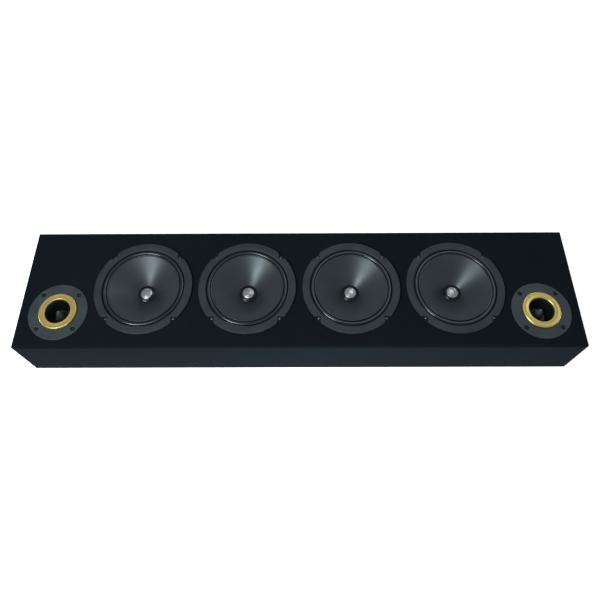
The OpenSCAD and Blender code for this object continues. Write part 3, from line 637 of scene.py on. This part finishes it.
def trim_ring(k):
    """Ring with a crowned top, rebated underneath over the surround's lip. Points inside stay_r and those
    of the rebate stay where they are, and points outside follow_r follow the notched outline."""
    inner, outer, seat = 71.0, 84.0, 75.0
    stay_r, follow_r = inner + 2.0, outer - 1.4
    low, shelf, crown = 1.5, 2.0, 5.5
    angles = crowded_angles(steps=192, extra=48, width=9)
    outline = notched_outline(angles, outer, corner=53.77)
    section = rounded([
        (inner, shelf, 0.1), (inner, 4.3, 0.5), (inner + 1.9, crown, 0.9), (inner + 5.0, crown, 0.2),
        (outer - 5.0, crown, 0.2), (outer, crown, 1.3), (outer, low, 0.2),
        (seat, low, 0.1), (seat, shelf, 0.1),
    ])
    r, z = section[:, :1], section[:, 1:]
    share = np.clip((r - stay_r) / (follow_r - stay_r), 0, 1)
    share[(z < shelf + 0.2) & (r < seat + 1)] = 0
    shape = ring_mesh(r + share * (outline - outer), np.repeat(z, len(angles), 1), angles, MIDRANGE_AT[k])
    make_piece(f"trim_ring_shape_{k}", shape, "trim_rubber", "enclosure", f"trim_ring_{k}", sharp=50)


def cone_height(r):
    """Underside of the cone: -28 + 30 ((r - 12.7) / 47.3) ^ 0.88."""
    return -28 + 30 * np.power(np.clip((r - 12.7) / 47.3, 0, None), 0.88)


def cone(k):
    """Shell 0.9 thick on the curve of cone_height, with a bead round its rim and a collar on the former."""
    thick, rim_r = 0.9, 59.6
    r = np.linspace(12.85, rim_r, 40)
    top = np.stack((r, cone_height(r) + thick), -1)
    rim = rounded([
        (rim_r, cone_height(rim_r) + thick, 0), (60.0, 2.95, 0.15), (60.7, 3.8, 0.4), (61.8, 3.75, 0.6),
        (62.0, 2.0, 0.2), (60.0, 2.0, 0),
    ])[1:]
    under = np.stack((r[::-1], cone_height(r[::-1])), -1)
    collar = np.array(((13.7, -28.4), (13.7, -31.0), (12.8, -31.0)))
    shape = turned(np.concatenate((top, rim, under[:-1], collar)), steps=160, centre=MIDRANGE_AT[k])
    make_piece(f"cone_shape_{k}", shape, "cone", f"cone_unit_{k}", f"cone_{k}", sharp=50)


def dust_cap(k):
    """Dome z = base + 4.2 (1 - (r / 15.2)^2) with a rolled edge, and a thin turned disc laid on its middle.
    The disc has a groove 0.3 deep round r = 6.5."""
    cap_r, disc_r = 15.2, 10.0
    base = cone_height(cap_r) + 1.4

    def dome(r):
        return base + 4.2 * (1 - (r / cap_r) ** 2)

    r = np.linspace(0, 15.0, 24)
    over = np.stack((r, dome(r)), -1)
    edge = np.array(((cap_r, base - 0.02), (15.15, base - 0.25), (14.8, base - 0.36)))
    under = np.stack((r[::-1], dome(r[::-1]) - 0.8), -1)[1:]
    shape = turned(np.concatenate((over, edge, under)), steps=96, centre=MIDRANGE_AT[k], loop=False)
    make_piece(f"dust_cap_dome_{k}", shape, "cone", f"cone_unit_{k}", f"dust_cap_{k}", sharp=50,
               finish=CAP_LACQUER)

    r = np.concatenate((np.linspace(0, 5.6, 9), np.linspace(5.7, 7.3, 13), np.linspace(7.5, 9.6, 5)))
    groove = 0.3 * np.clip((0.8 - np.abs(r - 6.5)) / 0.3, 0, 1)
    over = np.stack((r, dome(r) + 0.4 - groove), -1)
    edge = np.array(((9.85, dome(9.85) + 0.34), (disc_r, dome(disc_r) + 0.2), (disc_r, dome(disc_r) + 0.02)))
    under = np.stack((r[::-1], dome(r[::-1]) + 0.02), -1)
    shape = turned(np.concatenate((over, edge, under)), steps=96, centre=MIDRANGE_AT[k], loop=False)
    make_piece(f"dust_cap_disc_{k}", shape, "dust_cap", f"cone_unit_{k}", f"dust_cap_{k}", sharp=50)


def bend_round(obj):
    """Writes a soft piece's placement into its mesh and reads its points in millimetres; nothing uses them
    further."""
    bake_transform(obj)
    points = np.empty(len(obj.data.vertices) * 3, np.float32)
    obj.data.vertices.foreach_get("co", points)
    points = points.reshape(-1, 3) / MM


def surround(k):
    """Half roll: arcs of radius 3.4 above and 2.9 below round (66.5, 1.5), with a flat lip on both sides."""
    def arc(radius, first, last):
        a = np.radians(np.linspace(first, last, 25))
        return np.stack((66.5 + radius * np.cos(a), 1.5 + radius * np.sin(a)), -1)

    section = np.concatenate((
        [(74.8, 2.0), (70.9, 2.0), (70.2, 2.06)],
        arc(3.4, 14, 166),
        [(62.8, 2.06), (62.1, 2.0), (60.3, 2.0), (60.3, 1.55), (63.2, 1.55)],
        arc(2.9, 172, 8),
        [(69.8, 1.5), (74.8, 1.5)],
    ))
    shape = turned(section, steps=160, centre=MIDRANGE_AT[k])
    obj = make_piece(f"surround_roll_{k}", shape, "surround_rubber", None, f"surround_{k}", sharp=60)
    bend_round(obj)


def spider(k):
    """Corrugated disc 0.5 thick, flat on the shelf: z = -33 + 1.2 sin(8 pi t) from the former to there."""
    former, shelf, outer, thick, level = 13.0, 44.7, 51.7, 0.5, -33.0
    t = np.linspace(0, 1, 65)
    wavy = np.stack((former + (shelf - former) * t, level + 1.2 * np.sin(8 * math.pi * t)), -1)
    line = np.concatenate((wavy, [(outer, level)]))
    shape = turned(np.concatenate((line + (0, thick), line[::-1])), steps=96, centre=MIDRANGE_AT[k])
    obj = make_piece(f"spider_cloth_{k}", shape, "spider_cloth", None, f"spider_{k}", sharp=60)
    bend_round(obj)


# Screws

HEAD_HEIGHT = 1.9
SHANK_RADIUS = 1.8


def screw_shape(x, y, z, head_r, length, turn):
    """Pan head with a cross recess, and a shank with a helical thread that tapers to a point.
    Head: z = h (0.35 + 0.65 (1 - (r / R)^4)^0.5), less the cross, which is deep where |x| or |y| is small.
    Thread: r = R - depth (1 - ridge), with ridge = |2 frac(z / pitch - a / 2 pi) - 1|."""
    columns, pitch, depth = 32, 1.3, 0.32
    local = np.arange(columns) * 2 * math.pi / columns
    r = np.concatenate((np.linspace(0, 0.62, 9), np.linspace(0.68, 1, 8)))[:, None] * head_r
    dome = HEAD_HEIGHT * (0.35 + 0.65 * np.sqrt(np.clip(1 - (r / head_r) ** 4, 0, 1)))
    px, py = np.abs(r * np.cos(local)), np.abs(r * np.sin(local))
    arm, half = head_r * 0.60, head_r * 0.15
    lengthwise = np.clip((arm - np.maximum(px, py)) / (0.25 * head_r), 0, 1)
    crosswise = np.clip((half * 1.8 - np.minimum(px, py)) / (half * 0.8), 0, 1)
    top = dome - lengthwise * crosswise * HEAD_HEIGHT * 0.6
    top[0] = top[0].mean()
    down = np.linspace(0, length, int(length / pitch * 6))[:, None]
    taper = np.clip((length - down) / 3.0, 0.12, 1)
    phase = down / pitch - local / (2 * math.pi)
    ridge = np.abs(2 * (phase - np.floor(phase)) - 1)
    shank = (SHANK_RADIUS - depth * (1 - ridge)) * taper
    around = np.ones((1, columns))
    rows_r = (r * around, head_r * around, 0.97 * head_r * around, shank, 0 * around)
    rows_z = (top, 0.2 * HEAD_HEIGHT * around, 0 * around, -down * around, (-length - 0.05) * around)
    return ring_mesh(np.concatenate(rows_r), np.concatenate(rows_z), local + turn, (x, y), z, loop=False)


def driver_screws(name, centres, circle, height, head_r, length, node, finish=None):
    """Four screws on the diagonals of each driver, on a circle of that diameter, each turned its own way."""
    shapes = []
    for n, (x, y) in enumerate(centres):
        for q in range(4):
            a = math.radians(45 + 90 * q)
            turn = math.radians((37 * n + 61 * q) % 90)
            place = (x + circle / 2 * math.cos(a), y + circle / 2 * math.sin(a), TOP + height)
            shapes.append(screw_shape(*place, head_r, length, turn))
    make_piece(name, joined(shapes), "screw", "enclosure", node, sharp=40, finish=finish)


def terminal_fixings():
    """Four screws along +Y at the corners of their node's box: (x, y, z) of a screw goes to (x, z, -y)."""
    low, high = node_box("terminal_screws")
    head_r, length = 2.6, 11
    low, high = low + head_r, high - (head_r, HEAD_HEIGHT, head_r)
    corners = [(x, z) for x in (low[0], high[0]) for z in (low[2], high[2])]
    shapes = []
    for n, (x, z) in enumerate(corners):
        points, faces, maps = screw_shape(0, 0, 0, head_r, length, turn=0.5 * n)
        shapes.append((points[:, [0, 2, 1]] * (1, 1, -1) + (x, high[1], z), faces, maps))
    make_piece("terminal_fixings", joined(shapes), "screw", "enclosure", "terminal_screws", sharp=40)


for k in MIDRANGES:
    trim_ring(k)
    cone(k)
    dust_cap(k)
    surround(k)
    spider(k)
driver_screws("midrange_fixings", MIDRANGE_AT.values(), circle=160, height=1.5, head_r=2.6, length=15,
              node="midrange_screws")
driver_screws("tweeter_fixings", TWEETER_AT.values(), circle=86, height=1.6, head_r=3.2, length=15.1,
              node="tweeter_screws", finish=BLACKENED_SCREW)
terminal_fixings()


# Tweeters

FLANGE_FACE = 2.5
MOUTH_R = 20.9
THROAT_R = 11.0
THROAT_Z = -20.0


def flare_radius(z):
    """Exponential flare: mouth (throat / mouth) ^ ((face - z) / length)."""
    return MOUTH_R * np.power(THROAT_R / MOUTH_R, (FLANGE_FACE - z) / (FLANGE_FACE - THROAT_Z))


def horn(s):
    """Flange, flare and back disc, with a shallow well round each screw: z falls by the well's depth
    within its radius of the screw's centre, over a smooth step."""
    screw_at, well_r, well_step, well_depth = 43 * math.sqrt(0.5), 4.3, 0.7, 0.9
    wall = 2.5
    angles = crowded_angles(steps=160, extra=41, width=9)
    z = np.linspace(FLANGE_FACE, THROAT_Z, 30)
    flare = np.stack((flare_radius(z), z), -1)
    out = np.concatenate((np.arange(22, 37.5, 3), np.arange(37.5, 48.6, 0.55)))
    face = np.stack((out, np.full_like(out, FLANGE_FACE)), -1)
    edge = rounded([(48.6, FLANGE_FACE, 0), (49.5, FLANGE_FACE, 0.8), (49.5, 0.0, 0.2), (37.2, 0.0, 0)])[1:]
    back = np.array(((37.2, -8), (34.7, -8), (34.7, -2.5)))
    z = np.linspace(-2.8, THROAT_Z, 20)
    behind = np.stack((flare_radius(z) + wall, z), -1)
    disc = np.array((
        (14.5, -20), (14.5, -23), (30, -23), (30, -28), (16, -28),
        (16, -25), (9, -25), (9, -23), (12, -23), (12, -20),
    ))
    section = np.concatenate((flare[::-1], face, edge, back, behind, disc))
    flat = slice(len(flare), len(flare) + len(face))
    r, height = (np.repeat(section[:, i:i + 1], len(angles), 1) for i in (0, 1))
    x, y = np.abs(r[flat] * np.cos(angles)), np.abs(r[flat] * np.sin(angles))
    well = np.clip((well_r - np.hypot(x - screw_at, y - screw_at)) / well_step, 0, 1)
    height[flat] -= well_depth * (well * well * (3 - 2 * well))
    shape = ring_mesh(r, height, angles, TWEETER_AT[s])
    make_piece(f"horn_flare_{s}", shape, "horn", "enclosure", f"tweeter_horn_{s}", sharp=40)


def gold_ring(s):
    """Band with a shallow hollow between two rounded edges."""
    outer = 31.9
    section = rounded([
        (MOUTH_R, FLANGE_FACE, 0), (MOUTH_R, 5.2, 0.5), (22.3, 6.4, 0.5), (26.4, 5.9, 2.0), (30.3, 6.4, 0.7),
        (outer, 5.0, 0.7), (outer, FLANGE_FACE, 0),
    ])
    shape = turned(section, steps=128, centre=TWEETER_AT[s])
    make_piece(f"gold_band_{s}", shape, "gold", "enclosure", f"tweeter_ring_{s}", sharp=50)


def round_leg(centre, angle, near, far, height):
    """Closed rod from radius near to radius far at that angle: an oval carried along it."""
    steps, sides, half_width, half_height = 8, 16, 0.8, 1.2
    along = np.linspace(near, far, steps)[:, None]
    ring = np.arange(sides) * 2 * math.pi / sides
    out, side, up = np.broadcast_arrays(along, half_width * np.cos(ring), height + half_height * np.sin(ring))
    x = centre[0] + out * math.cos(angle) - side * math.sin(angle)
    y = centre[1] + out * math.sin(angle) + side * math.cos(angle)
    index = np.arange(steps * sides).reshape(steps, sides)
    after = np.roll(index, -1, 1)
    quads = np.stack((index[:-1], after[:-1], after[1:], index[1:]), -1).reshape(-1, 4)
    ends = np.stack((index[0][::-1], index[-1]))
    maps = [np.zeros((len(quads), 4, 2)), np.zeros((2, sides, 2))]
    return np.stack((x, y, TOP + up), -1).reshape(-1, 3), [quads, ends], maps


def bullet(s):
    """Bullet r = 7 sin(90 min(1, 1.6 u))^0.75 down its length, a foot ring, and three legs between them."""
    tip, foot, foot_top, leg_height = 3.4, -23, -20.5, -21.7
    u = np.concatenate((np.linspace(0, 0.08, 9)[:-1], np.linspace(0.08, 1, 36)))
    r = 7 * np.power(np.sin(np.radians(90 * np.minimum(1, 1.6 * u))), 0.75)
    side = np.stack((r, tip + (foot - tip) * u), -1)
    body = turned(np.concatenate((side, ((0, foot),))), steps=64, centre=TWEETER_AT[s], loop=False)
    ring = rounded([(10.5, foot, 0.2), (11.9, foot, 0.2), (11.9, foot_top, 0.4), (10.5, foot_top, 0.4)])
    legs = [round_leg(TWEETER_AT[s], math.radians(90 + 120 * q), 6.2, 10.9, leg_height) for q in range(3)]
    shape = joined([body, turned(ring, steps=64, centre=TWEETER_AT[s]), *legs])
    make_piece(f"bullet_plug_{s}", shape, "bullet", "enclosure", f"tweeter_bullet_{s}", sharp=50)


for s in SIDES:
    horn(s)
    gold_ring(s)
    bullet(s)


# Pieces taken over from the CAD model, merged and with their edges eased

def eased(name, node, slot, body, bevel=0.0):
    """Copy of a CAD node's mesh: its points merged, its flat faces joined, its edges rounded by bevel."""
    same_point, same_plane, sharp, corner = 2e-6, math.radians(1), math.radians(30), math.radians(40)
    mesh = frame["nodes"][node].data.copy()
    mesh.name = name
    bm = bmesh.new()
    bm.from_mesh(mesh)
    bmesh.ops.remove_doubles(bm, verts=bm.verts, dist=same_point)
    bmesh.ops.dissolve_limit(bm, angle_limit=same_plane, verts=bm.verts, edges=bm.edges)
    bm.to_mesh(mesh)
    bm.free()
    if "custom_normal" in mesh.attributes:
        mesh.attributes.remove(mesh.attributes["custom_normal"])
    mesh.materials.clear()
    mesh.materials.append(FINISH[slot])
    mesh.polygons.foreach_set("use_smooth", np.ones(len(mesh.polygons), bool))
    mesh.set_sharp_from_angle(angle=sharp)
    obj = bpy.data.objects.new(name, mesh)
    scene.collection.objects.link(obj)
    if bevel:
        modifier = obj.modifiers.new("ease", "BEVEL")
        modifier.width, modifier.segments = bevel * MM, 2
        modifier.limit_method, modifier.angle_limit = "ANGLE", corner
        modifier.harden_normals = True
    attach(obj, body)
    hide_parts(node)


for node in ("carpet_wrap", "carpet_base", "carpet_end_left", "carpet_end_right"):
    eased(f"felt_{node}", node, "carpet", "enclosure")
eased("terminal_body", "terminal_cup", "terminal_plastic", "enclosure", 0.35)
eased("red_press", "lever_red", "lever_red", "red_lever", 0.4)
eased("black_press", "lever_black", "lever_black", "black_lever", 0.4)
for k in MIDRANGES:
    eased(f"frame_pressing_{k}", f"basket_{k}", "painted_steel", "enclosure")
